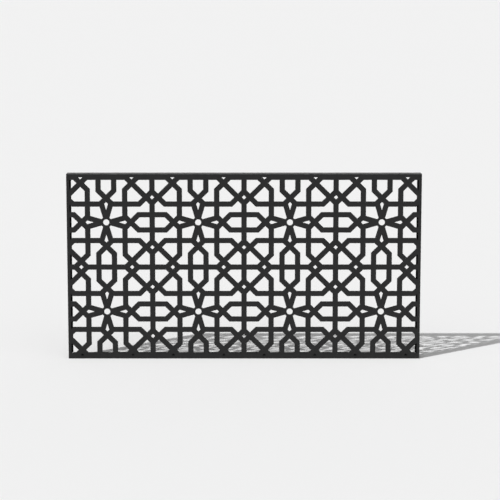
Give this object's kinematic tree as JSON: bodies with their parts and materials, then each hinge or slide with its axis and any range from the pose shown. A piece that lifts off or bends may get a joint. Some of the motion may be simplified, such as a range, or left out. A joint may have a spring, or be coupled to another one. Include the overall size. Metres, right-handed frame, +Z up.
{
  "type": "metal privacy screen panel",
  "caption": "Folded sheet-metal screen panel with a pierced geometric star lattice, return sides, rear lips and fixing holes.",
  "frame": {"origin": "middle of the bottom side's outer face, at its middle fixing hole, half way through the panel's depth", "axes": "+X along the width, +Y to the open back, +Z up; the pierced front faces -Y"},
  "size_m": [1.142, 0.03, 0.6115],
  "materials": {
    "powder_coat": "satin black powder coat with a fine texture"
  },
  "bodies": {
    "root": {"screen_panel": "powder_coat"}
  },
  "joints": []
}
